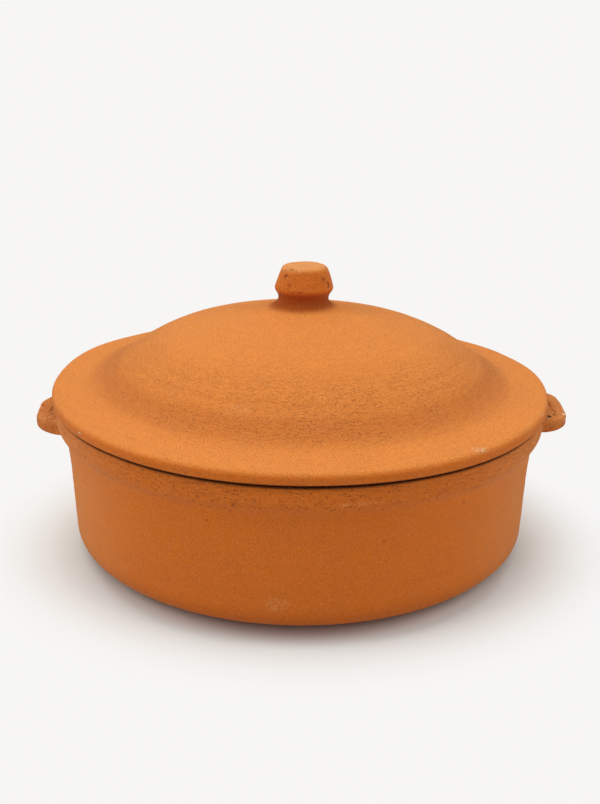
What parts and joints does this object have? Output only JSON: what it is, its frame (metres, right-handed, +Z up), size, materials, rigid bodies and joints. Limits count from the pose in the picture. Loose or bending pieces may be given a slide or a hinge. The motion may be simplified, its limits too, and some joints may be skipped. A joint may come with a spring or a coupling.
{
  "type": "lidded clay pot",
  "caption": "Round clay cooking pot with a rim band, small lug ears and a loose domed lid with a flange and a knob, for slow cooking and serving.",
  "frame": {"origin": "middle of the flat base, on the surface that the pot stands on", "axes": "+Z up, along the axis that pot and lid were thrown on; +X towards one ear, which stands 4 degrees from it"},
  "size_m": [0.3057, 0.2812, 0.1642],
  "materials": {
    "pot_clay": "matte",
    "lid_clay": "matte"
  },
  "bodies": {
    "root": {"pot": "pot_clay", "lid": "lid_clay"}
  },
  "joints": []
}
